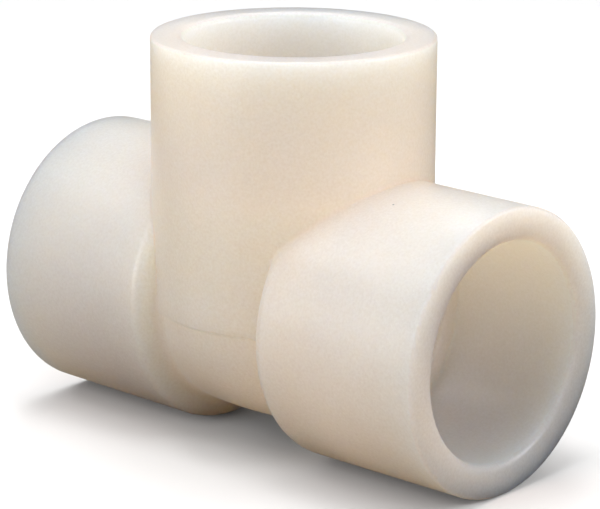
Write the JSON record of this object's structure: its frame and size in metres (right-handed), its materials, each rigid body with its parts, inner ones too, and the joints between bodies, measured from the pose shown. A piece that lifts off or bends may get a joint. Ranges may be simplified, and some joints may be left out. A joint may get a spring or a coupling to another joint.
{
  "type": "pipe tee fitting",
  "caption": "Equal plastic pipe tee with plain cement sockets: a straight run with thick end hubs, a slimmer centre body and a branch at right angles.",
  "frame": {"origin": "where the run axis and the branch axis cross, at the middle of the fitting", "axes": "+X along the run, towards the right socket; +Z along the branch, towards its mouth; +Y to the rear"},
  "size_m": [0.0814, 0.0424, 0.0612],
  "materials": {
    "natural_plastic": "natural unpigmented moulded plastic, milky and slightly translucent, satin gloss"
  },
  "bodies": {
    "root": {"centre_body": "natural_plastic", "run_socket_left": "natural_plastic", "run_socket_right": "natural_plastic", "branch_socket": "natural_plastic"}
  },
  "joints": []
}
